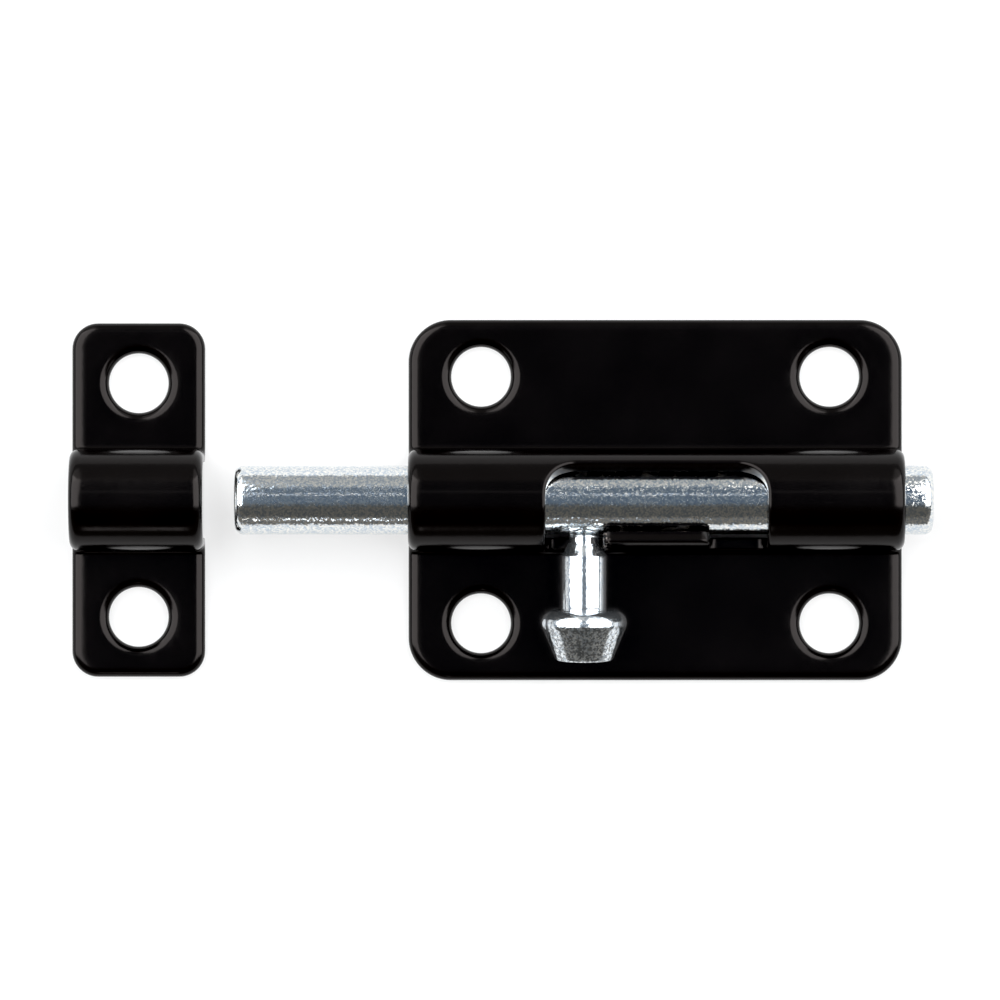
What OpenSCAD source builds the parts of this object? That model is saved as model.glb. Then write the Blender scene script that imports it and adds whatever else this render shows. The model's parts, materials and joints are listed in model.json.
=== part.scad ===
// A surface-mounted barrel bolt for a door or gate, with its strike.
//
// Four pieces: a stamped base plate with a raised barrel, a round bolt rod that slides
// and turns in the barrel, a turned handle screwed into the side of the rod, and a
// separate stamped strike plate whose loop catches the end of the rod.
//
// The frame: the backs of both plates lie on z = 0 and +Z points away from the door.
// The rod's axis runs along X, and +X is the way the bolt is drawn back. The origin is
// the centre of the base plate's four screw holes, on its back. Lengths are millimetres.

/* [Sheet metal] */
// Thickness of the sheet that both plates are stamped from
sheet_t = 1.5; // [1.2:0.1:1.7]
// Radius of the hollow where a barrel wall rises from its plate
bend_r = 0.5; // [0.3:0.1:0.8]
// Height of the rod's axis above the back of the plates
axis_z = 7.75; // [7.7:0.05:9]
// Gap all round between the rod and the inside of the barrel
rod_gap = 0.4; // [0.15:0.05:0.45]

/* [Base plate] */
// Length of the base plate along the rod
base_l = 57.2; // [54:0.2:64]
// Width of the base plate across the rod
base_w = 41.8; // [40:0.2:48]
// Corner radius of the base plate
base_corner_r = 4.9; // [2:0.1:6]
// Screw hole spacing along the rod
base_hole_dx = 40.4; // [38:0.2:44]
// Screw hole spacing across the rod
base_hole_dy = 28.6; // [27:0.2:31]
// Diameter of the screw holes in both plates
hole_d = 6.9; // [5:0.1:7.4]

/* [Handle window] */
// Length of the window along the rod
window_l = 25.6; // [24:0.2:28]
// How far the window reaches past the rod's axis, on the side away from the notches
window_reach = 4; // [2.5:0.1:4.1]
// Corner radius of the window
window_corner_r = 3.2; // [1:0.1:3.4]
// Height of the notch floors above the back of the plate
notch_z = 2.4; // [2:0.1:3]
// Length along the rod of the guard that stands between the two notches
guard_l = 12.6; // [11:0.2:14]
// Height of the guard above the back, low enough for the handle to pass over it
guard_z = 4.3; // [3:0.1:4.4]

/* [Bolt rod] */
// Diameter of the bolt rod
rod_d = 7.94; // [7.5:0.02:8.1]
// Length of the bolt rod
rod_l = 80.7; // [76:0.1:84]
// Where the thrown end of the rod is, from the centre of the base plate
rod_tip_x = -48.7; // [-49:0.1:-46]
// Edge radius at both ends of the rod
rod_edge_r = 1; // [0.5:0.1:1.5]

/* [Handle] */
// Where the handle stands along the rod when the bolt is thrown
handle_x = -8.3; // [-9:0.05:-8.2]
// Angle by which the resting handle hangs below level, its head just off the plate
handle_droop = 4.5; // [0:0.5:4.5]
// Diameter of the neck that passes through the window
neck_d = 3.6; // [3:0.1:3.7]
// Distance from the rod's axis at which the neck starts to swell into the stem
neck_end = 5; // [4.8:0.05:5.4]
// Distance from the rod's axis at which the stem has its full diameter
stem_start = 6.3; // [5.95:0.05:6.6]
// Diameter of the stem
stem_d = 5.12; // [4.6:0.02:5.2]
// Distance from the rod's axis to the shoulder of the head
head_start = 12.75; // [12:0.05:14]
// Largest diameter of the head
head_d = 9.88; // [9:0.02:9.9]
// Radius of the head's rounded shoulder
head_shoulder_r = 1.5; // [0.8:0.1:1.6]
// Diameter of the head's flat end
head_tip_d = 6.6; // [5.6:0.1:7]
// Distance from the rod's axis to the end of the handle
handle_reach = 18.55; // [18:0.05:19.5]
// Bevel round the end of the handle
tip_bevel = 0.35; // [0.2:0.05:0.6]

/* [Strike plate] */
// Length of the strike plate along the rod
strike_l = 15.4; // [13:0.2:17]
// Width of the strike plate across the rod
strike_w = 41; // [40:0.2:48]
// Corner radius of the strike plate
strike_corner_r = 3; // [2:0.1:3.6]
// Screw hole spacing across the rod
strike_hole_dy = 27.1; // [26:0.1:29]
// Clear gap between the base plate and the strike plate
strike_gap = 23.6; // [22:0.1:30]

/* [Hidden] */
$fn = 96;

// Taller than anything here, for cuts that go right through.
cut_h = 40;
// A cut starts this far outside the face that it opens.
overcut = 1;
// Air between the handle's root and the rod that it is screwed into, which keeps the
// two solids apart because they turn against each other about the rod's axis.
root_gap = 0.03;

rod_r = rod_d / 2;
barrel_in_r = rod_r + rod_gap;
barrel_out_r = barrel_in_r + sheet_t;
strike_x = -base_l / 2 - strike_gap - strike_l / 2;

// The centre of the hollow bend, from which both skins of the sheet curve. The flat of
// the plate begins below it.
bend_z = sheet_t + bend_r;
bend_y = barrel_out_r + bend_r;

// The head's cone leaves its round shoulder at a tangent, at this angle from the axis.
shoulder_x = head_d / 2 - head_shoulder_r;
shoulder_z = head_start + head_shoulder_r;
cone_rise = handle_reach - tip_bevel - shoulder_z;
cone_run = shoulder_x - head_tip_d / 2;
cone_angle = atan2(cone_run, cone_rise) + asin(head_shoulder_r / norm([cone_run, cone_rise]));

// Everything inside the barrel's skin of radius r, down to z = floor_z: round above the
// rod's axis, straight down both walls, and flaring out where the sheet bends flat.
module barrel_inside(r, floor_z) {
    translate([0, axis_z]) circle(r);
    translate([-r, bend_z]) square([2 * r, axis_z - bend_z]);
    difference() {
        translate([-bend_y, floor_z]) square([2 * bend_y, bend_z - floor_z]);
        for (side = [-1, 1]) translate([side * bend_y, bend_z]) circle(bend_y - r);
    }
}

// The end view of a stamped plate of width w: flat, up over the barrel, flat again.
module plate_section(w) {
    difference() {
        union() {
            translate([-w / 2, 0]) square([w, sheet_t]);
            barrel_inside(barrel_out_r, 0);
        }
        barrel_inside(barrel_in_r, -overcut);
    }
}

// A rectangle with round corners, centred.
module rounded_rect(l, w, r) {
    square([l - 2 * r, w], center = true);
    square([l, w - 2 * r], center = true);
    for (sx = [-1, 1], sy = [-1, 1]) {
        translate([sx * (l / 2 - r), sy * (w / 2 - r)]) circle(r);
    }
}

// A stamped plate with its barrel along X, and its outline and holes cut.
module stamped_plate(l, w, corner_r, holes) {
    difference() {
        intersection() {
            rotate([90, 0, 90]) linear_extrude(l, center = true) plate_section(w);
            linear_extrude(cut_h) rounded_rect(l, w, corner_r);
        }
        for (p = holes) {
            translate([p.x, p.y, -overcut]) cylinder(d = hole_d, h = cut_h);
        }
    }
}

// The window over the rod, open on the -Y side down to the floors of two notches. The
// guard between the notches is left standing.
module window_cut() {
    window_foot = -barrel_out_r - overcut;
    window_w = window_reach - window_foot;
    difference() {
        translate([0, window_foot + window_w / 2, notch_z]) {
            linear_extrude(cut_h) {
                rounded_rect(window_l, window_w, window_corner_r);
                translate([-window_l / 2, -window_w / 2]) square([window_l, window_w / 2]);
            }
        }
        translate([-guard_l / 2, window_foot - overcut, 0]) {
            cube([guard_l, -window_foot + overcut, guard_z]);
        }
    }
}

module base_plate() {
    x = base_hole_dx / 2;
    y = base_hole_dy / 2;
    color("#171615") difference() {
        stamped_plate(base_l, base_w, base_corner_r, [[-x, -y], [-x, y], [x, -y], [x, y]]);
        window_cut();
    }
}

module strike_plate() {
    y = strike_hole_dy / 2;
    color("#171615") translate([strike_x, 0, 0]) {
        stamped_plate(strike_l, strike_w, strike_corner_r, [[0, -y], [0, y]]);
    }
}

// A solid round bar along +Z with both its edges rounded.
module round_bar(r, l, edge_r) {
    rotate_extrude() {
        square([r - edge_r, l]);
        translate([0, edge_r]) square([r, l - 2 * edge_r]);
        translate([r - edge_r, edge_r]) circle(edge_r);
        translate([r - edge_r, l - edge_r]) circle(edge_r);
    }
}

module bolt_rod() {
    color("#9aa3ab") translate([rod_tip_x, 0, axis_z]) rotate([0, 90, 0]) {
        round_bar(rod_r, rod_l, rod_edge_r);
    }
}

// Half of the handle's outline, turned about its own axis: neck, stem and conical head.
module handle_outline() {
    cone_top = [shoulder_x, shoulder_z] + head_shoulder_r * [cos(cone_angle), sin(cone_angle)];
    polygon([
        [0, 0],
        [neck_d / 2, 0],
        [neck_d / 2, neck_end],
        [stem_d / 2, stem_start],
        [stem_d / 2, head_start],
        [shoulder_x, head_start],
        [shoulder_x, shoulder_z],
        cone_top,
        [head_tip_d / 2, handle_reach - tip_bevel],
        [head_tip_d / 2 - tip_bevel, handle_reach],
        [0, handle_reach]
    ]);
    translate([shoulder_x, shoulder_z]) circle(head_shoulder_r);
}

// The handle's root is hollowed to sit on the round of the rod.
module handle() {
    color("#b9bec4") translate([handle_x, 0, axis_z]) rotate([90 + handle_droop, 0, 0]) {
        difference() {
            rotate_extrude() handle_outline();
            rotate([0, 90, 0]) cylinder(r = rod_r + root_gap, h = cut_h, center = true);
        }
    }
}

base_plate();
bolt_rod();
handle();
strike_plate();
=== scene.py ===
# %% [markdown]
# # A barrel bolt, stamped, turned and plated
#
# A barrel bolt is four pieces of steel. Two are stampings: a base plate whose middle is
# pressed up into a round barrel, and a small strike plate with a loop of the same
# section. The third is a round rod that slides and turns in the barrel, and the fourth
# is a turned handle screwed into its side.
#
# This lesson makes each piece the way its maker does. The stampings start as flat blanks
# and are bent by a rule, the rod and the handle are turned from an outline, and each
# finish is built up from noise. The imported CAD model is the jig: every place comes from it.

# %% The frame
import json
import math

import bpy
import bmesh
import numpy as np
from mathutils import Matrix, Vector
from mathutils.geometry import delaunay_2d_cdt


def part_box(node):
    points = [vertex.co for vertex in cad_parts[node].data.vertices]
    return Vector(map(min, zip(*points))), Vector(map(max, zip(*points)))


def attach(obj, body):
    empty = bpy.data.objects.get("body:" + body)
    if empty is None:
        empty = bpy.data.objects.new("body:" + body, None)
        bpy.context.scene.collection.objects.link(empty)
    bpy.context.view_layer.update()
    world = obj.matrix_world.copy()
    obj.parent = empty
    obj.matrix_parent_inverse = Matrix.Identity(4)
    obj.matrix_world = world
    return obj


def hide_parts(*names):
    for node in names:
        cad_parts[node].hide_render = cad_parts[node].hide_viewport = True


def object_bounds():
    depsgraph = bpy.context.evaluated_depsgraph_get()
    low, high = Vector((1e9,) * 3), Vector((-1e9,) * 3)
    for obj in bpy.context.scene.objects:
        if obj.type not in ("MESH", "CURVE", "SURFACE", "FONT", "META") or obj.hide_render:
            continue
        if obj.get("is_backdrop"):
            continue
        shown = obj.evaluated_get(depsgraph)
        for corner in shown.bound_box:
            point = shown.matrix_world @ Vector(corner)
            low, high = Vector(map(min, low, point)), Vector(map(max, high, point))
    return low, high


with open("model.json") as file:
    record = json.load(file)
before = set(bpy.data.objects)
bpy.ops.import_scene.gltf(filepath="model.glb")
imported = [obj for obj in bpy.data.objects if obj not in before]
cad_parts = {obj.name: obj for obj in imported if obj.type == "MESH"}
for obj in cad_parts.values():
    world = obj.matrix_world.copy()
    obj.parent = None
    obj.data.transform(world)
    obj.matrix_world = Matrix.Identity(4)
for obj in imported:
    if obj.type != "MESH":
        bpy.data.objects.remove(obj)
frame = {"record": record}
cad_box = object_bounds()

# %% [markdown]
# ## Sizes
#
# The sheet work below is done in millimetres, because that is how a stamping is drawn,
# and each mesh is scaled to metres as it is made. Whatever the jig can tell is read from
# it. What several pieces share, such as the sheet's thickness, is named here, and the rest
# beside the piece that it belongs to.

# %% Sizes read from the jig, in millimetres
MM = 0.001


def box_mm(node):
    low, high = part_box(node)
    return low / MM, high / MM


base_low, base_high = box_mm("base_plate")
strike_low, strike_high = box_mm("strike_plate")
rod_low, rod_high = box_mm("bolt_rod")
handle_low, handle_high = box_mm("handle")

AXIS_Z = (rod_low.z + rod_high.z) / 2
ROD_R = (rod_high.z - rod_low.z) / 2
SHEET = 1.5
CROWN_R = base_high.z - AXIS_Z
BORE_R = CROWN_R - SHEET
BEND_R = 0.5
GUARD_HALF = 6.15
HANDLE_X = (handle_low.x + handle_high.x) / 2

mounts = {m["name"]: m for m in frame["record"]["mounts"]}
HOLE_R = mounts["base_screws"]["dims"]["hole_r_mm"]
print(f"axis {AXIS_Z:.2f} up, rod radius {ROD_R:.2f}, crown {CROWN_R:.2f}, bore {BORE_R:.2f}")

# %% [markdown]
# ## The studio
#
# Bright metal shows what surrounds it, so the room is designed before the object. Two
# white tents stand to the left and right, each a sloping panel from overhead down to the
# table and an upright panel behind it, and the camera looks down through the dark slit
# between them. Flat black steel mirrors the slit and stays black, while every rounded
# edge catches a tent and is drawn in grey. A pale backdrop closes the slit behind. A
# narrow strip across the slit draws a fine line along the rod, and a small lamp in front
# draws another along the strike's loop.

# %% Camera
VIEW_WIDTH = 0.1159
VIEW_X = -0.018
CAMERA_HEIGHT = 1.15
PLATE_FRONT = SHEET * MM
SENSOR = 36.0
BLACK_LEVEL = 0.0025

view_centre = Vector((VIEW_X, 0.0, PLATE_FRONT))
camera_data = bpy.data.cameras.new("camera")
camera_data.sensor_width = SENSOR
camera_data.lens = SENSOR * (CAMERA_HEIGHT - PLATE_FRONT) / VIEW_WIDTH
camera_data.clip_end = 20
camera = bpy.data.objects.new("camera", camera_data)
camera.location = view_centre + Vector((0, 0, CAMERA_HEIGHT - PLATE_FRONT))
bpy.context.scene.collection.objects.link(camera)
bpy.context.scene.camera = camera

view = bpy.context.scene.view_settings
view.view_transform = "Standard"
view.use_curve_mapping = True
view.curve_mapping.black_level = (BLACK_LEVEL,) * 3
print(f"lens {camera_data.lens:.0f} mm")

# %% Lights
SLIT_HALF = 0.27
TENT_OUT = 1.6
TENT_TOP = 1.25
TENT_FOOT = 0.32
TENT_FRONT = -0.32
TENT_BACK = 1.3
TENT_TURN = math.radians(2)
TENT_RADIANCE = 6.0
BACK_RADIANCE = TENT_RADIANCE / 4
STRIP_PLACE = Vector((0, 0.4, 1.2))
STRIP_DEPTH = 0.05
STRIP_RADIANCE = 1.1
LAMP_PLACE = Vector((-0.092, -1.3, 0.5))
LAMP_SIZE = (0.03, 0.2)
LAMP_RADIANCE = 7


def softbox(name, place, facing, size, radiance):
    """A white panel whose light is equally bright whatever its size."""
    data = bpy.data.lights.new(name, "AREA")
    data.shape = "RECTANGLE"
    data.size, data.size_y = size
    data.energy = radiance * math.pi * size[0] * size[1]
    light = bpy.data.objects.new(name, data)
    light.location = view_centre + place
    light.rotation_euler = facing.to_track_quat("-Z", "Y").to_euler()
    light.visible_camera = False
    bpy.context.scene.collection.objects.link(light)


width, rise, depth = TENT_OUT - SLIT_HALF, TENT_TOP - TENT_FOOT, TENT_BACK - TENT_FRONT
across, up = (TENT_OUT + SLIT_HALF) / 2, (TENT_TOP + TENT_FOOT) / 2
along = (TENT_BACK + TENT_FRONT) / 2
slope_size = (depth, math.hypot(width, rise))
for side, name in ((-1, "left"), (1, "right")):
    turn = Matrix.Rotation(side * TENT_TURN, 3, "Z")
    place, facing = Vector((side * across, along, up)), Vector((-side * rise, 0, -width))
    softbox(name + "_slope", turn @ place, turn @ facing, slope_size, TENT_RADIANCE)
    place, facing = Vector((side * across, TENT_BACK, up)), Vector((0, -1, 0))
    softbox(name + "_back", turn @ place, turn @ facing, (width, rise), BACK_RADIANCE)
strip_size = (2 * SLIT_HALF, STRIP_DEPTH)
softbox("overhead_strip", STRIP_PLACE, -STRIP_PLACE, strip_size, STRIP_RADIANCE)
softbox("front_lamp", LAMP_PLACE, -LAMP_PLACE, LAMP_SIZE, LAMP_RADIANCE)

# %% [markdown]
# ## Wiring nodes with Python's own operators
#
# A node tree is a sum written as boxes and lines. The small class below wraps an output
# socket, so that `1 - mask` or `radius * angle` adds the Math nodes by itself. The same
# class serves the bending rule, which is a Geometry Nodes tree, and the finishes, which
# are shader trees. Every other node is added by one method.

# %% The wiring classes


def pick(sockets, key):
    """A socket by its number, its identifier or its name."""
    if isinstance(key, int):
        return sockets[key]
    return next((s for s in sockets if s.identifier == key), None) or sockets[key]


class Wire:
    """An output socket that does maths: each operator adds a Math node."""

    def __init__(self, wiring, socket):
        self.wiring = wiring
        self.socket = socket

    def math(self, operation, *operands):
        sockets = dict(enumerate(operands))
        return self.wiring.node("ShaderNodeMath", {"operation": operation}, sockets)

    def __add__(self, other):
        return self.math("ADD", self, other)

    def __radd__(self, other):
        return self.math("ADD", other, self)

    def __sub__(self, other):
        return self.math("SUBTRACT", self, other)

    def __rsub__(self, other):
        return self.math("SUBTRACT", other, self)

    def __mul__(self, other):
        return self.math("MULTIPLY", self, other)

    def __rmul__(self, other):
        return self.math("MULTIPLY", other, self)

    def __truediv__(self, other):
        return self.math("DIVIDE", self, other)

    def __pow__(self, other):
        return self.math("POWER", self, other)

    def __abs__(self):
        return self.math("ABSOLUTE", self)

    def least(self, other):
        return self.math("MINIMUM", self, other)

    def most(self, other):
        return self.math("MAXIMUM", self, other)

    def between(self, low, high):
        return self.most(low).least(high)

    def ramp(self, start, end):
        """0 at start and 1 at end, smoothly, and constant beyond them."""
        settings = {"interpolation_type": "SMOOTHSTEP"}
        sockets = {"Value": self, "From Min": start, "From Max": end}
        return self.wiring.node("ShaderNodeMapRange", settings, sockets)


class Wiring:
    """An empty node tree to add nodes to."""

    def __init__(self, tree):
        self.tree = tree
        tree.nodes.clear()

    def node(self, kind, settings=None, sockets=None, out=0):
        """Adds a node, makes its settings, then fills or links its sockets."""
        made = self.tree.nodes.new(kind)
        for name, value in (settings or {}).items():
            setattr(made, name, value)
        for key, value in (sockets or {}).items():
            socket = pick(made.inputs, key)
            if isinstance(value, Wire):
                self.tree.links.new(value.socket, socket)
            else:
                socket.default_value = value
        return Wire(self, pick(made.outputs, out)) if made.outputs else None

    def vector(self, operation, first, second=None, scale=1.0):
        """Maths on whole vectors."""
        sockets = {0: first, "Scale": scale} if second is None else {0: first, 1: second}
        return self.node("ShaderNodeVectorMath", {"operation": operation}, sockets)

    def xyz(self, vector):
        """A vector's three numbers, each as a wire."""
        parts = "ShaderNodeSeparateXYZ"
        return [self.node(parts, None, {0: vector}, axis) for axis in range(3)]


def mixed(w, share, first, second):
    """Between two colours, by a share from 0 to 1."""
    sockets = {"Factor_Float": share, "A_Color": first, "B_Color": second}
    return w.node("ShaderNodeMix", {"data_type": "RGBA"}, sockets, "Result_Color")


# %% [markdown]
# ## The rest of the room
#
# What the tents don't fill is the room itself. Straight up it is a dim blue-grey. In
# front it is a dim warm grey that grows paler towards the floor, and behind, low down, it
# is the pale backdrop. One ramp on the direction looked in stands for each change: Y
# points to the back, and Z straight up.

# %% Room
ZENITH = (0.145, 0.185, 0.235, 1)
FRONT = (0.115, 0.112, 0.104, 1)
FRONT_FOOT = (0.20, 0.19, 0.175, 1)
BACKDROP = (0.52, 0.53, 0.53, 1)
FRONT_RAMP = (0.1, 0.4)
FOOT_RAMP = (0.54, 0.44)
BACKDROP_RAMP = (0.64, 0.76)

room = bpy.data.worlds.new("room")
room.use_nodes = True
bpy.context.scene.world = room
w = Wiring(room.node_tree)
_, towards_back, height = w.xyz(w.node("ShaderNodeTexCoord", None, None, "Generated"))
in_front = (0 - towards_back).ramp(*FRONT_RAMP)
behind = towards_back.ramp(*BACKDROP_RAMP)
front = mixed(w, height.ramp(*FOOT_RAMP), FRONT, FRONT_FOOT)
light = mixed(w, behind, mixed(w, in_front, ZENITH, front), BACKDROP)
background = w.node("ShaderNodeBackground", None, {"Color": light})
w.node("ShaderNodeOutputWorld", None, {0: background})

# %% [markdown]
# ## Drawing a blank
#
# A stamping is cut from flat sheet before it is bent, so its outline, holes and window
# are drawn flat. Each corner of an outline is given with its own radius, and the loop is
# sampled evenly, because it will have to follow a curve later.

# %% Outlines
LOOP_STEP = 0.4


def fillet_loop(corners):
    """Points anticlockwise round an outline whose corners are (x, y, radius)."""
    stretches = []
    for i, (x, y, radius) in enumerate(corners):
        here = Vector((x, y))
        back = (Vector(corners[i - 1][:2]) - here).normalized()
        ahead = (Vector(corners[(i + 1) % len(corners)][:2]) - here).normalized()
        half = back.angle(ahead) / 2
        centre = here + (back + ahead).normalized() * radius / math.sin(half)
        start = here + back * radius / math.tan(half) - centre
        sweep = math.copysign(math.pi - 2 * half, ahead.x * back.y - ahead.y * back.x)
        steps = max(4, math.ceil(radius * abs(sweep) / LOOP_STEP))
        turned = [Matrix.Rotation(sweep * k / steps, 2) @ start for k in range(steps + 1)]
        stretches.append([centre + p for p in turned])
    loop = []
    for stretch, after in zip(stretches, stretches[1:] + stretches[:1]):
        loop += stretch
        steps = math.ceil((after[0] - stretch[-1]).length / LOOP_STEP)
        loop += [stretch[-1].lerp(after[0], k / steps) for k in range(1, steps)]
    return loop


def circle_loop(x, y, radius, count=72):
    """Points anticlockwise round a hole."""
    turns = [math.tau * k / count for k in range(count)]
    return [Vector((x + radius * math.cos(t), y + radius * math.sin(t))) for t in turns]


def moved_in(loop, distance):
    """The loop moved to its left, which is inwards, or outwards if distance is negative."""
    moved = []
    for i, here in enumerate(loop):
        a = (here - loop[i - 1]).normalized()
        b = (loop[(i + 1) % len(loop)] - here).normalized()
        normals = Vector((-a.y, a.x)), Vector((-b.y, b.x))
        mitre = (normals[0] + normals[1]) / (1 + normals[0].dot(normals[1]))
        moved.append(here + distance * mitre)
    return moved


# %% [markdown]
# ## Blanking: giving the flat sheet its thickness and its rolled rims
#
# A punch drags the surface down as it enters the sheet, so the front rim of a stamping
# is well rounded, the skin just inside it sags a little, and its back rim is nearly
# sharp. The rim is therefore a list of rings, each a distance in from the cut edge and a
# height above the back, and quads join one ring to the next. The two flat skins inside
# the rims are filled with a Delaunay triangulation, with extra points where the sheet
# will be bent.

# %% The blank as a closed slab
BACK_ROLL = 0.15
ROLL_STEPS = 7
DRAG = 0.7
DRAG_DROP = 0.03
MIN_GAP = 0.7 * LOOP_STEP


def rim_rings(roll, drag):
    """(distance in from the edge, height above the back) from the back skin to the front.

    The front skin sags by DRAG_DROP over a width of drag inside the roll, or not at all.
    """
    quarter = [math.pi / 2 * k / ROLL_STEPS for k in range(ROLL_STEPS + 1)]
    back, front = [], []
    for a in quarter[::2]:
        back.append((BACK_ROLL * (1 - math.sin(a)), BACK_ROLL * (1 - math.cos(a))))
    back.append((0, BACK_ROLL))
    drop = DRAG_DROP if drag else 0
    for a in quarter:
        height = SHEET - drop - (roll - drop) * (1 - math.sin(a))
        front.append((roll * (1 - math.cos(a)), height))
    if drag:
        front += [(roll + drag * k / 3, SHEET - drop * (1 - k / 3) ** 2) for k in (1, 2, 3)]
    return back + front


def inside(points, loop):
    """For each point, whether it is inside the loop."""
    a = np.array(loop)
    b = np.roll(a, -1, 0)
    x, y = points[:, :1], points[:, 1:2]
    rise = np.where(a[:, 1] == b[:, 1], 1, b[:, 1] - a[:, 1])
    crossing = a[:, 0] + (y - a[:, 1]) * (b[:, 0] - a[:, 0]) / rise
    hits = ((a[:, 1] > y) != (b[:, 1] > y)) & (x < crossing)
    return hits.sum(1) % 2 == 1


def inside_sheet(points, loops):
    """For each point, whether it is inside the first loop and outside all the others."""
    kept = inside(points, loops[0])
    for hole in loops[1:]:
        kept &= ~inside(points, hole)
    return kept


def fill_skin(loops, rows, columns):
    """Points and triangles that fill the first loop, round the holes of the others."""
    ring = np.array([p for loop in loops for p in loop])
    edges, start = [], 0
    for loop in loops:
        edges += [(start + i, start + (i + 1) % len(loop)) for i in range(len(loop))]
        start += len(loop)
    grid = np.array([(x, y) for y in rows for x in columns])
    grid = grid[inside_sheet(grid, loops)]
    gaps = np.array([np.hypot(*(ring - p).T).min() for p in grid])
    points = [Vector(p) for p in np.vstack([ring, grid[gaps > MIN_GAP]])]
    found, _, faces, sources, _, _ = delaunay_2d_cdt(points, edges, [], 0, 1e-6)
    middles = np.array([sum((found[i] for i in face), Vector((0, 0))) / 3 for face in faces])
    kept = inside_sheet(middles, loops)
    faces = [[sources[i][0] for i in face] for face, keep in zip(faces, kept) if keep]
    return points, faces


def blank(name, outlines, rows, columns):
    """A flat slab in metres, from outlines (loop, roll): the outside, then the holes."""
    verts, faces, skins = [], [], ([], [])
    for number, (loop, roll) in enumerate(outlines):
        rings = rim_rings(roll, 0 if number else DRAG)
        inwards = -1 if number else 1
        first = len(verts)
        for distance, height in rings:
            verts += [(p.x, p.y, height) for p in moved_in(loop, inwards * distance)]
        count = len(loop)
        for r in range(len(rings) - 1):
            for i in range(count):
                a, b = first + r * count + i, first + r * count + (i + 1) % count
                faces.append((a, b, b + count, a + count))
        skins[0].append(first)
        skins[1].append(first + (len(rings) - 1) * count)
    for starts, height in ((skins[0], 0), (skins[1], SHEET)):
        on_rim = []
        for start, (loop, _) in zip(starts, outlines):
            on_rim += range(start, start + len(loop))
        loops, at = [], 0
        for loop, _ in outlines:
            loops.append([Vector(verts[v][:2]) for v in on_rim[at : at + len(loop)]])
            at += len(loop)
        points, triangles = fill_skin(loops, rows, columns)
        number = on_rim + [len(verts) + i for i in range(len(points) - len(on_rim))]
        verts += [(p.x, p.y, height) for p in points[len(on_rim) :]]
        faces += [tuple(number[i] for i in face) for face in triangles]
    return finished_mesh(name, [Vector(v) * MM for v in verts], faces)


def finished_mesh(name, verts, faces):
    """An object from points and faces, with its faces pointing outwards and shaded smooth."""
    mesh = bpy.data.meshes.new(name)
    mesh.from_pydata(verts, [], faces)
    shell = bmesh.new()
    shell.from_mesh(mesh)
    bmesh.ops.recalc_face_normals(shell, faces=shell.faces)
    open_edges = sum(not edge.is_manifold for edge in shell.edges)
    shell.to_mesh(mesh)
    shell.free()
    mesh.shade_smooth()
    piece = bpy.data.objects.new(name, mesh)
    bpy.context.scene.collection.objects.link(piece)
    counts = f"{len(mesh.vertices)} points, {len(mesh.polygons)} faces"
    print(f"{name}: {counts}, {open_edges} open edges")
    return piece


# %% [markdown]
# ## Bending the blank
#
# A press wraps the blank over a round mandrel. Measured outwards from the crown, the
# sheet runs round the mandrel, down a straight wall, round a small hollow bend, and out
# flat. Each stretch has a length that doesn't change, so one rule places every point:
# how far it has got round the crown, down the wall, round the bend and along the flat.
# That is a job for Geometry Nodes, where the rule stays readable as a formula.

# %% The lengths of the stretches
bend_neutral = BEND_R + SHEET / 2
bend_foot = CROWN_R + BEND_R
crown_neutral = BORE_R + SHEET / 2
QUARTER = math.pi / 2
crown_length = crown_neutral * QUARTER
wall_length = AXIS_Z - SHEET - BEND_R
bend_length = bend_neutral * QUARTER
flat_start = crown_length + wall_length + bend_length


def unrolled(y):
    """Where a point on the flat of the plate lies across the blank."""
    return math.copysign(abs(y) - bend_foot + flat_start, y)


# %% The bending tree
def bending_tree():
    """Geometry Nodes: wraps a flat slab, x along and y across, over the barrel."""
    tree = bpy.data.node_groups.new("bend_over_barrel", "GeometryNodeTree")
    names = ("Axis Height", "Bore Radius", "Sheet", "Bend Radius")
    tree.interface.new_socket("Geometry", in_out="INPUT", socket_type="NodeSocketGeometry")
    for name in names:
        tree.interface.new_socket(name, in_out="INPUT", socket_type="NodeSocketFloat")
    tree.interface.new_socket("Material", in_out="INPUT", socket_type="NodeSocketMaterial")
    tree.interface.new_socket("Geometry", in_out="OUTPUT", socket_type="NodeSocketGeometry")
    w = Wiring(tree)
    inputs = w.tree.nodes.new("NodeGroupInput")
    given = {s.name: Wire(w, s) for s in inputs.outputs if s.name}
    axis_z, bore, sheet, bend = (given[name] for name in names)
    x, across, height = w.xyz(w.node("GeometryNodeInputPosition"))

    out = abs(across)
    crown_mid = bore + sheet / 2
    round_crown = (out / crown_mid).between(0, QUARTER)
    past_crown = out - crown_mid * QUARTER
    wall = axis_z - sheet - bend
    down_wall = past_crown.between(0, wall)
    past_wall = past_crown - wall
    bend_mid = bend + sheet / 2
    round_bend = (past_wall / bend_mid).between(0, QUARTER)
    along_flat = (past_wall - bend_mid * QUARTER).most(0)

    skin = bore + height
    hollow = bend + sheet - height
    sine = {angle: angle.math("SINE", angle) for angle in (round_crown, round_bend)}
    cosine = {angle: angle.math("COSINE", angle) for angle in (round_crown, round_bend)}
    y = skin * sine[round_crown] + hollow * (1 - cosine[round_bend]) + along_flat
    z = axis_z + skin * cosine[round_crown] - down_wall - hollow * sine[round_bend]
    y = y * across.math("SIGN", across)
    place = w.node("ShaderNodeCombineXYZ", None, {0: x, 1: y, 2: z})
    sockets = {"Geometry": given["Geometry"], "Position": place}
    bent = w.node("GeometryNodeSetPosition", None, sockets)
    real = w.node("GeometryNodeRealizeInstances", None, {0: bent})
    sockets = {"Geometry": real, "Material": given["Material"]}
    done = w.node("GeometryNodeSetMaterial", None, sockets)
    w.node("NodeGroupOutput", None, {0: done})
    return tree


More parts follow.
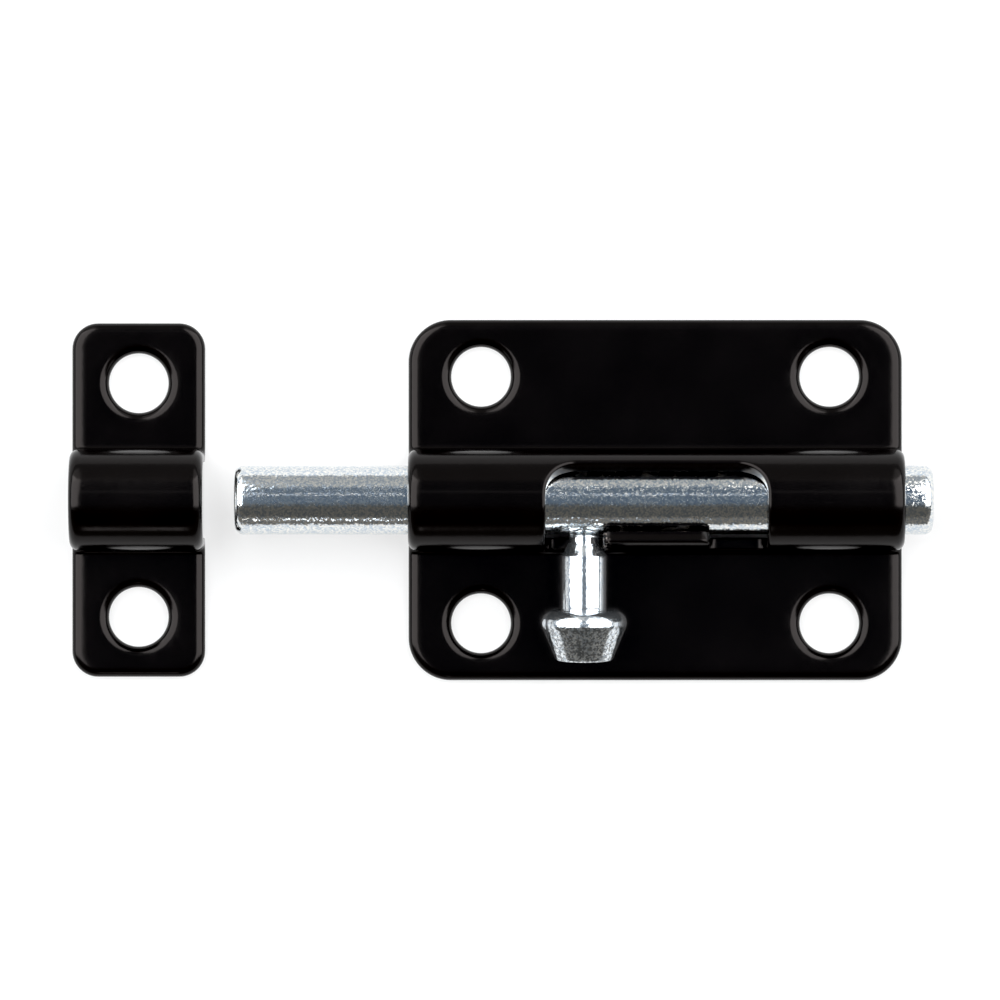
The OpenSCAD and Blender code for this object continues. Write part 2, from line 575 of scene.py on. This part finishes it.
def set_inputs(modifier, values):
    """Sets a Geometry Nodes modifier's inputs by name, through their identifiers."""
    for item in modifier.node_group.interface.items_tree:
        if item.in_out == "INPUT" and item.name in values:
            modifier[item.identifier] = values[item.name]


def bend(piece, tree, finish):
    """Bends a blank and leaves it as a plain mesh."""
    modifier = piece.modifiers.new("bend", "NODES")
    modifier.node_group = tree
    sizes = {"Axis Height": AXIS_Z, "Bore Radius": BORE_R, "Sheet": SHEET}
    sizes["Bend Radius"] = BEND_R
    set_inputs(modifier, {name: size * MM for name, size in sizes.items()})
    set_inputs(modifier, {"Material": finish})
    bpy.context.view_layer.update()
    seen = piece.evaluated_get(bpy.context.evaluated_depsgraph_get())
    mesh = bpy.data.meshes.new_from_object(seen)
    piece.modifiers.remove(modifier)
    piece.data = mesh
    mesh.shade_smooth()
    return piece


# %% [markdown]
# ## The black coat
#
# Both plates have a smooth black coating, a little uneven like the skin of an orange.
# It is almost colourless: nearly all that is seen is the reflection of the room. Where
# the handle knocks against the guard the coat is rubbed through to the steel, and the
# rod has polished the inside of the barrel. Both are found from the piece's own
# coordinates, so they stay put when the piece is seen from elsewhere.

# %% Black coat

# Where the neck knocks against the guard: how far from its corner, how far to the side
# of the rod's axis, and between which heights. Each pair is the start and the end of a
# ramp, in millimetres.
KNOCK_REACH = (0.25, 1.0)
KNOCK_Y = (-2.6, -3.6)
KNOCK_FOOT = (2.2, 3.4)
KNOCK_TOP = (11.6, 12.2)
KNOCK_STRENGTH = 0.5

# How far outside the bore the rod's polish reaches.
RUB_NEAR, RUB_FAR = 0.02, 0.12
RUB_STRENGTH = 0.25

COAT_THIN = (0.0003, 0.0002, 0.0002, 1)
COAT_THICK = (0.0008, 0.0006, 0.0006, 1)
BARE_STEEL = (0.24, 0.21, 0.19, 1)
COAT_IOR = 1.23
COAT_TINT = (1.0, 0.91, 0.89, 1)
PEEL_DEPTH = 0.03


def noise(w, where, size_mm, detail=2, rough=0.5):
    """Noise whose lumps are about size_mm across, from 0 to 1."""
    sockets = {"Vector": where, "Scale": 1 / (size_mm * MM)}
    sockets.update({"Detail": detail, "Roughness": rough})
    return w.node("ShaderNodeTexNoise", None, sockets)


def new_material(name):
    """A material with an empty tree."""
    material = bpy.data.materials.new(name)
    material.use_nodes = True
    return material, Wiring(material.node_tree)


def black_coat():
    material, w = new_material("black_coat")
    where = w.node("ShaderNodeTexCoord", None, None, "Object")
    x, y, z = w.xyz(where)
    peel = noise(w, where, 0.9, 1)
    haze = noise(w, where, 7, 3)
    specks = noise(w, where, 0.25, 2).ramp(0.66, 0.72)

    # How near a point is to the guard's corner that the neck knocks against.
    guard_x = abs(x / MM + GUARD_HALF)
    knock = (1 - guard_x.ramp(*KNOCK_REACH)) * (y / MM).ramp(*KNOCK_Y)
    knock = knock * (1 - (z / MM).ramp(*KNOCK_TOP)) * (z / MM).ramp(*KNOCK_FOOT)
    rise = z - AXIS_Z * MM
    radius = (y * y + rise * rise) ** 0.5 / MM
    rubbed = (1 - radius.ramp(BORE_R + RUB_NEAR, BORE_R + RUB_FAR)) * RUB_STRENGTH
    chips = knock * KNOCK_STRENGTH * noise(w, where, 0.4, 3).ramp(0.56, 0.62)
    polish = rubbed * noise(w, where, 1.5, 3).ramp(0.5, 0.7)
    bare = (chips + polish).between(0, 1)

    coat = mixed(w, haze, COAT_THIN, COAT_THICK)
    colour = mixed(w, bare, coat, BARE_STEEL)
    rough = 0.12 + haze * 0.08 + specks * 0.06 + bare * 0.2
    sockets = {"Strength": 0.25, "Distance": PEEL_DEPTH * MM, "Height": peel}
    bump = w.node("ShaderNodeBump", None, sockets)
    sockets = {"Base Color": colour, "Roughness": rough, "Metallic": bare, "Normal": bump}
    sockets.update({"IOR": COAT_IOR, "Specular Tint": COAT_TINT})
    shader = w.node("ShaderNodeBsdfPrincipled", None, sockets)
    w.node("ShaderNodeOutputMaterial", None, {"Surface": shader})
    return material


black = black_coat()

# %% [markdown]
# ## The base plate
#
# The base is a rectangle with round corners. Its window is one opening in the blank:
# wide at the crown, and reaching down the near wall in two notches with a guard left
# standing between them. Once bent, the guard curls up beside the rod, and the handle's
# neck can only pass along when it is raised over it.

# %% Blank sizes
BASE_CORNER = 4.9
EDGE_ROLL = 1.05
HOLE_ROLL = 1.15
WINDOW_ROLL = 0.35
WINDOW_HALF = 12.8
WINDOW_TOP = math.radians(47.5)
GUARD_TOP = math.radians(54)
NOTCH_Z = 2.4

# The radii of the window's corners: at its top, at the floors of the notches, and at the
# foot and the top of the guard.
WINDOW_CORNER = 3.7
NOTCH_CORNER = 0.9
GUARD_FOOT_CORNER = 0.7
GUARD_TOP_CORNER = 0.8

# The grid inside a blank: along it, across the part that is bent, and across the flats.
COLUMN_STEP = 0.8
BENT_STEP = 0.36
BENT_MARGIN = 0.5
FLAT_STEP = 1.2


def blank_rows(half_across):
    """Heights of grid rows across the blank: close together where it bends."""
    near = np.arange(0, flat_start + BENT_MARGIN, BENT_STEP)
    far = np.arange(near[-1] + FLAT_STEP, half_across, FLAT_STEP)
    rows = np.concatenate([near, far])
    return np.concatenate([-rows[:0:-1], rows])


def rectangle(x, half_length, half_across, corner):
    """The corners of a rectangle, anticlockwise, for fillet_loop."""
    signs = ((-1, -1), (1, -1), (1, 1), (-1, 1))
    return [(x + sx * half_length, sy * half_across, corner) for sx, sy in signs]


def window_corners():
    """The window and its notches in the blank, anticlockwise."""
    top = crown_neutral * WINDOW_TOP
    guard = -crown_neutral * GUARD_TOP
    floor = -(crown_length + AXIS_Z - NOTCH_Z)
    right = [
        (GUARD_HALF, guard, GUARD_TOP_CORNER),
        (GUARD_HALF, floor, GUARD_FOOT_CORNER),
        (WINDOW_HALF, floor, NOTCH_CORNER),
        (WINDOW_HALF, top, WINDOW_CORNER),
    ]
    left = [(-x, y, r) for x, y, r in reversed(right)]
    return left[1:3] + left[3:] + right + left[:1]


# %% Base plate
def base_plate():
    half_length = (base_high.x - base_low.x) / 2
    half_across = unrolled(base_high.y)
    hole_x = mounts["base_screws"]["dims"]["spacing_x_mm"] / 2
    hole_y = unrolled(mounts["base_screws"]["dims"]["spacing_y_mm"] / 2)
    outlines = [(fillet_loop(rectangle(0, half_length, half_across, BASE_CORNER)), EDGE_ROLL)]
    outlines.append((fillet_loop(window_corners()), WINDOW_ROLL))
    for sx in (-1, 1):
        for sy in (-1, 1):
            outlines.append((circle_loop(sx * hole_x, sy * hole_y, HOLE_R), HOLE_ROLL))
    columns = np.arange(base_low.x, base_high.x, COLUMN_STEP)
    return blank("base_plate_steel", outlines, blank_rows(half_across), columns)


tree = bending_tree()
base = bend(base_plate(), tree, black)
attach(base, "plates")
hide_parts("base_plate")

# %% [markdown]
# ## The strike plate
#
# The strike is the same stamping in small: a narrow blank with two holes, bent over the
# same mandrel, so the same functions make it.

# %% Strike plate
STRIKE_CORNER = 3.0


def strike_plate():
    middle_x = (strike_low.x + strike_high.x) / 2
    half_length = (strike_high.x - strike_low.x) / 2
    half_across = unrolled(strike_high.y)
    hole_y = unrolled(mounts["strike_screws"]["dims"]["spacing_y_mm"] / 2)
    outline = fillet_loop(rectangle(middle_x, half_length, half_across, STRIKE_CORNER))
    outlines = [(outline, EDGE_ROLL)]
    for sy in (-1, 1):
        outlines.append((circle_loop(middle_x, sy * hole_y, HOLE_R), HOLE_ROLL))
    columns = np.arange(strike_low.x, strike_high.x, COLUMN_STEP)
    return blank("strike_plate_steel", outlines, blank_rows(half_across), columns)


strike = bend(strike_plate(), tree, black)
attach(strike, "plates")
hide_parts("strike_plate")

# %% [markdown]
# ## Turning
#
# A lathe sweeps an outline round an axis. The outline is a list of (distance along,
# radius), and it starts and ends on the axis, so the turned piece is closed.

# %% A lathe
SEGMENTS = 128


def turned(name, outline, place):
    """A solid turned about +Z from an outline in millimetres, then put in its place."""
    verts = [Vector((0, 0, outline[0][0]))]
    for along, radius in outline[1:-1]:
        for k in range(SEGMENTS):
            angle = math.tau * k / SEGMENTS
            verts.append(Vector((radius * math.cos(angle), radius * math.sin(angle), along)))
    verts.append(Vector((0, 0, outline[-1][0])))
    rings = len(outline) - 2
    last = len(verts) - 1
    faces = []
    for k in range(SEGMENTS):
        after = (k + 1) % SEGMENTS
        faces.append((0, 1 + after, 1 + k))
        for r in range(rings - 1):
            a, b = 1 + r * SEGMENTS + k, 1 + r * SEGMENTS + after
            faces.append((a, b, b + SEGMENTS, a + SEGMENTS))
        end = 1 + (rings - 1) * SEGMENTS
        faces.append((last, end + k, end + after))
    return finished_mesh(name, [place @ (v * MM) for v in verts], faces)


def arc(centre, radius, start, end, steps):
    """Points on an arc of an outline, angles in degrees from the radius's own direction."""
    turns = [math.radians(start + (end - start) * k / steps) for k in range(steps + 1)]
    along, out = centre
    return [(along + radius * math.sin(t), out + radius * math.cos(t)) for t in turns]


# %% [markdown]
# ## Zinc plating
#
# The rod is drawn bar with a clear zinc plate. Up close the plate is a mosaic of fine
# grains, some pale and some blue-grey, each tilted a little, so that neighbours mirror
# slightly different parts of the room. A Voronoi pattern is just such a mosaic: each cell
# has one random colour, and that gives both its tint and its tilt. The handle is brighter
# and its grains lie flatter, but the turning marks on its head hold dark specks.

# %% Zinc finishes
ON_HEAD = (14.3, 14.8)
PIT_COLOUR = (0.04, 0.04, 0.037, 1)
PIT_STRENGTH = 0.65


def mosaic(w, where, grain_mm):
    """A Voronoi mosaic whose cells each have one random colour."""
    sockets = {"Vector": where, "Scale": 1 / (grain_mm * MM)}
    return w.node("ShaderNodeTexVoronoi", None, sockets, "Color")


def zinc(name, grain_mm, tilt, light, dark, rough, metallic):
    """Zinc plate of grains grain_mm across, whose normals lean by up to about tilt."""
    material, w = new_material(name)
    where = w.node("ShaderNodeTexCoord", None, None, "Object")
    _, y, _ = w.xyz(where)
    cell = mosaic(w, where, grain_mm)
    tint, lucky, _ = w.xyz(cell)
    cloud = noise(w, where, 2.5, 3)
    patch = noise(w, where, grain_mm * 3, 3, 0.6)
    colour = mixed(w, (tint * 0.6 + patch * 0.4).ramp(0.25, 0.75), dark, light)

    # The head's turning marks hold dark pits between the grains.
    on_head = (0 - y / MM).ramp(*ON_HEAD)
    pits = (patch * 0.5 + lucky * 0.5).ramp(0.56, 0.42)
    colour = mixed(w, on_head * pits * PIT_STRENGTH, colour, PIT_COLOUR)

    lean = w.vector("SUBTRACT", cell, (0.5, 0.5, 0.5))
    lean = w.vector("SCALE", lean, None, 2 * tilt * (0.4 + cloud * 1.2))
    normal = w.node("ShaderNodeNewGeometry", None, None, "Normal")
    facet = w.vector("NORMALIZE", w.vector("ADD", normal, lean))
    sockets = {"Base Color": colour, "Roughness": rough + cloud * 0.08}
    sockets.update({"Metallic": metallic, "Normal": facet})
    shader = w.node("ShaderNodeBsdfPrincipled", None, sockets)
    w.node("ShaderNodeOutputMaterial", None, {"Surface": shader})
    return material


rod_zinc = zinc(
    "zinc_rod",
    grain_mm=0.18,
    tilt=0.045,
    light=(0.76, 0.76, 0.73, 1),
    dark=(0.48, 0.54, 0.60, 1),
    rough=0.07,
    metallic=1.0,
)
bright_zinc = zinc(
    "bright_zinc",
    grain_mm=0.2,
    tilt=0.025,
    light=(0.74, 0.77, 0.78, 1),
    dark=(0.50, 0.55, 0.60, 1),
    rough=0.10,
    metallic=0.97,
)

# %% [markdown]
# ## The bolt rod
#
# The bar is cropped to length and tumbled, which leaves both ends slightly domed with
# a soft round edge.

# %% Bolt rod
ROD_EDGE = 1.0
ROD_DOME = 0.12


def rod_end():
    """The outline of one end, from the axis out to the bar's full radius."""
    face_r = ROD_R - ROD_EDGE
    face = [(ROD_DOME * (r / face_r) ** 2, r) for r in np.linspace(0, face_r, 6)]
    return face + arc((ROD_DOME + ROD_EDGE, face_r), ROD_EDGE, -90, 0, 10)[1:]


def bolt_rod():
    length = rod_high.x - rod_low.x
    near = rod_end()
    far = [(length - along, radius) for along, radius in reversed(near)]
    between = [(along, ROD_R) for along in np.linspace(near[-1][0], far[0][0], 40)[1:-1]]
    along_x = Matrix.Rotation(math.radians(90), 4, "Y")
    place = Matrix.Translation(Vector((rod_low.x, 0, AXIS_Z)) * MM) @ along_x
    return turned("bolt_rod_bar", near + between + far, place)


rod = bolt_rod()
rod.data.materials.append(rod_zinc)
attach(rod, "bolt")
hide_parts("bolt_rod")

# %% [markdown]
# ## The handle
#
# The handle is turned from brighter bar: a thin neck that passes through the window, a
# stem, and a head that tapers to its end like a cone with its point cut off. At rest it
# hangs a few degrees below level, so that its head nearly touches the plate.

# %% Handle
DROOP = math.radians(4.5)
NECK_R = 1.8
STEM_R = 2.56
HEAD_R = 4.94
NECK_END = 5.0
STEM_START = 6.3
HEAD_START = 12.75
SHOULDER_R = 1.5
TIP_R = 3.3
HANDLE_REACH = 18.55
TIP_EDGE = 0.4
ROOT_SINK = 0.1


def handle_outline():
    """From just inside the rod out to the end of the head.

    Extra points close to each corner keep it crisp, though the whole is shaded smooth.
    """
    root = [(ROD_R - ROOT_SINK, radius) for radius in (0, NECK_R * 0.5, NECK_R)]
    neck = [(along, NECK_R) for along in (4.2, 4.6, NECK_END - 0.12)]
    swell = [(NECK_END, NECK_R + 0.03), (NECK_END + 0.08, NECK_R + 0.1)]
    swell += [(STEM_START - 0.1, STEM_R - 0.1), (STEM_START, STEM_R - 0.02)]
    stem = [(along, STEM_R) for along in np.linspace(STEM_START + 0.12, HEAD_START - 0.2, 12)]
    groove = [(HEAD_START - 0.08, STEM_R - 0.02), (HEAD_START, STEM_R)]
    shelf = [(HEAD_START, r) for r in (STEM_R + 0.08, 3.0, 3.4)]
    centre = (HEAD_START + SHOULDER_R, HEAD_R - SHOULDER_R)
    run, rise = centre[1] - TIP_R, HANDLE_REACH - TIP_EDGE - centre[0]
    cone = math.degrees(math.atan2(run, rise) + math.asin(SHOULDER_R / math.hypot(run, rise)))
    shoulder = arc(centre, SHOULDER_R, -90, cone, 16)
    start = shoulder[-1]
    tip_centre = (HANDLE_REACH - TIP_EDGE, TIP_R - TIP_EDGE + 0.08)
    edge = arc(tip_centre, TIP_EDGE, cone, 90, 8)
    side = [tuple(np.array(start) + (np.array(edge[0]) - start) * k / 8) for k in range(1, 8)]
    face = [(HANDLE_REACH, r) for r in (TIP_R * 0.6, TIP_R * 0.3)]
    head = shelf + shoulder + side + edge + face + [(HANDLE_REACH, 0)]
    return root + neck + swell + stem + groove + head


def handle():
    place = Matrix.Translation(Vector((HANDLE_X, 0, AXIS_Z)) * MM)
    place = place @ Matrix.Rotation(QUARTER + DROOP, 4, "X")
    return turned("handle_stud", handle_outline(), place)


stud = handle()
stud.data.materials.append(bright_zinc)
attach(stud, "handle")
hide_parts("handle")

# %% [markdown]
# ## The table
#
# The object lies on a frosted light table, which fills in its shadows. The table is dark
# only under the raised barrels, where the light is masked so as not to shine through.

# %% Floor
FLOOR_SIZE = 3.0
FLOOR_DROP = 0.00002
TABLE_GREY = (0.18, 0.18, 0.18, 1)
TABLE_GLOW = 0.65
LIT, MASKED = (1, 1, 1, 1), (0, 0, 0, 1)

# Where the mask fades, across the barrels and in from their ends, in millimetres.
MASK_ACROSS = (6, 8)
MASK_FADE = 1

floor_mesh = bpy.data.meshes.new("floor")
half = FLOOR_SIZE / 2
corners = [(-half, -half), (half, -half), (half, half), (-half, half)]
floor_mesh.from_pydata([(x, y, -FLOOR_DROP) for x, y in corners], [], [(0, 1, 2, 3)])
floor = bpy.data.objects.new("floor", floor_mesh)
bpy.context.scene.collection.objects.link(floor)
table, w = new_material("light_table")
x, y, _ = w.xyz(w.node("ShaderNodeTexCoord", None, None, "Object"))
under = 1 - (abs(y) / MM).ramp(*MASK_ACROSS)
covered = 0
for low, high in ((base_low.x, base_high.x), (strike_low.x, strike_high.x)):
    ends = (x / MM).ramp(low, low + MASK_FADE) * (x / MM).ramp(high, high - MASK_FADE)
    covered = ends + covered
glow = mixed(w, under * covered, LIT, MASKED)
sockets = {"Base Color": TABLE_GREY, "Roughness": 0.9}
sockets.update({"Emission Color": glow, "Emission Strength": TABLE_GLOW})
shader = w.node("ShaderNodeBsdfPrincipled", None, sockets)
w.node("ShaderNodeOutputMaterial", None, {"Surface": shader})
floor_mesh.materials.append(table)
floor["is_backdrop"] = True

# %% [markdown]
# ## Measuring up
#
# The visual model is meant to fill the same box as the jig, so both boxes are printed.

# %% Sizes, and the end
seen_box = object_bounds()
plain = [[list(corner) for corner in box] for box in (cad_box, seen_box)]
print("cad", plain[0], "visual", plain[1])
